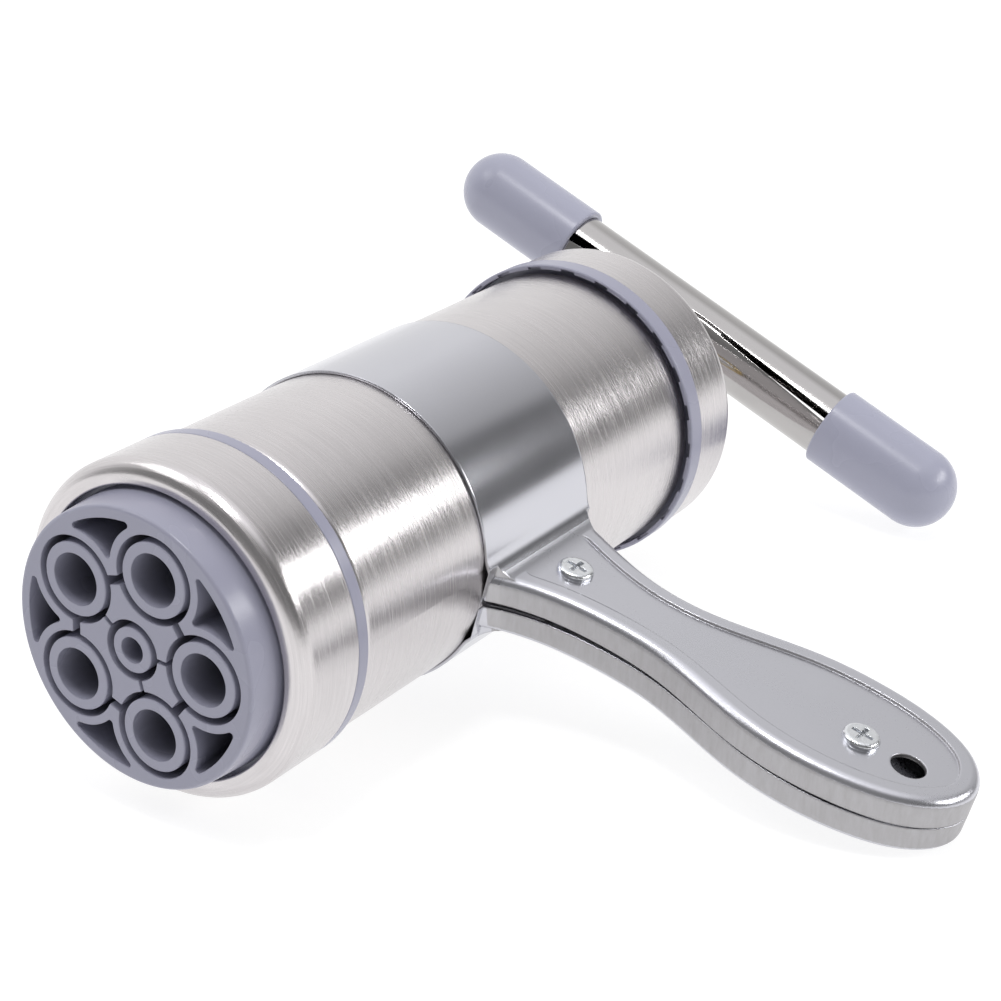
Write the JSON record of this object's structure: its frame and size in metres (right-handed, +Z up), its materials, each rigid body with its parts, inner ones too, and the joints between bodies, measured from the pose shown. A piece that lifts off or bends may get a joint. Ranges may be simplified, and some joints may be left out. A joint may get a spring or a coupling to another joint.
{
  "type": "hand screw press",
  "caption": "Hand screw press lying on its side: steel barrel, round die with nozzles, flat side handle, and a T-handle on a screw that drives a piston.",
  "frame": {"origin": "centre of the die's front face, on the barrel's axis", "axes": "+Y along the barrel from the die to the T-handle, +Z up, +X towards the side handle, which hangs down 13 degrees until its end meets the surface that the caps lie on"},
  "size_m": [0.2082, 0.2273, 0.0727],
  "materials": {
    "grey_plastic": "satin moulded plastic, cool purple grey",
    "white_plastic": "natural white moulded plastic",
    "seal_rubber": "soft translucent grey rubber",
    "brushed_sleeve": "fine brushing round the barrel",
    "smooth_steel": "smooth drawn steel",
    "pressed_steel": "satin tumbled pressing",
    "polished_steel": "polished",
    "plated_fastener": "bright zinc plate",
    "nut_brass": "turned brass"
  },
  "bodies": {
    "barrel": {"barrel_shell": "brushed_sleeve", "barrel_liner": "smooth_steel", "front_collar": "white_plastic", "rear_collar": "white_plastic", "handle_upper_half": "pressed_steel", "handle_lower_half": "pressed_steel", "handle_screws": "plated_fastener", "handle_nuts": "plated_fastener", "handle_spacers": "plated_fastener"},
    "die": {"nozzle_die": "grey_plastic", "die_gasket": "seal_rubber"},
    "front_cap": {"front_cap_sleeve": "brushed_sleeve", "front_cap_insert": "grey_plastic"},
    "rear_seal": {"rear_gasket": "seal_rubber"},
    "rear_cap": {"rear_cap_sleeve": "brushed_sleeve", "rear_cap_insert": "grey_plastic", "spindle_nut": "nut_brass"},
    "piston": {"piston_disc": "white_plastic", "piston_seal": "seal_rubber"},
    "crank": {"spindle": "smooth_steel", "piston_washer": "smooth_steel", "piston_screw": "plated_fastener", "tee_hub": "smooth_steel", "tee_pin": "smooth_steel", "tee_upper_bar": "polished_steel", "tee_lower_bar": "polished_steel", "tee_grip_a": "grey_plastic", "tee_grip_b": "grey_plastic"}
  },
  "joints": [
    {"name": "die_slide", "type": "slide", "parent": "barrel", "child": "die", "axis": [0, -1, 0], "range_m": [0, 0.0121]},
    {"name": "front_cap_turn", "type": "hinge", "parent": "die", "child": "front_cap", "pos_m": [0, 0.016, 0], "axis": [0, -1, 0], "range_deg": [0, 1440]},
    {"name": "rear_seal_slide", "type": "slide", "parent": "barrel", "child": "rear_seal", "axis": [0, 1, 0], "range_m": [0, 0.0121]},
    {"name": "rear_cap_turn", "type": "hinge", "parent": "rear_seal", "child": "rear_cap", "pos_m": [0, 0.16, 0], "axis": [0, 1, 0], "range_deg": [0, 1440]},
    {"name": "piston_slide", "type": "slide", "parent": "rear_cap", "child": "piston", "axis": [0, -1, 0], "range_m": [-0.0841, 0.0371]},
    {"name": "crank_turn", "type": "hinge", "parent": "piston", "child": "crank", "pos_m": [0, 0.217, 0], "axis": [0, -1, 0], "range_deg": [-7560, 3330]}
  ],
  "couplings": [
    {"joint": "die_slide", "follows": "front_cap_turn", "m_per_rad": 0.00047746},
    {"joint": "rear_seal_slide", "follows": "rear_cap_turn", "m_per_rad": 0.00047746},
    {"joint": "piston_slide", "follows": "crank_turn", "m_per_rad": 0.00063662}
  ]
}
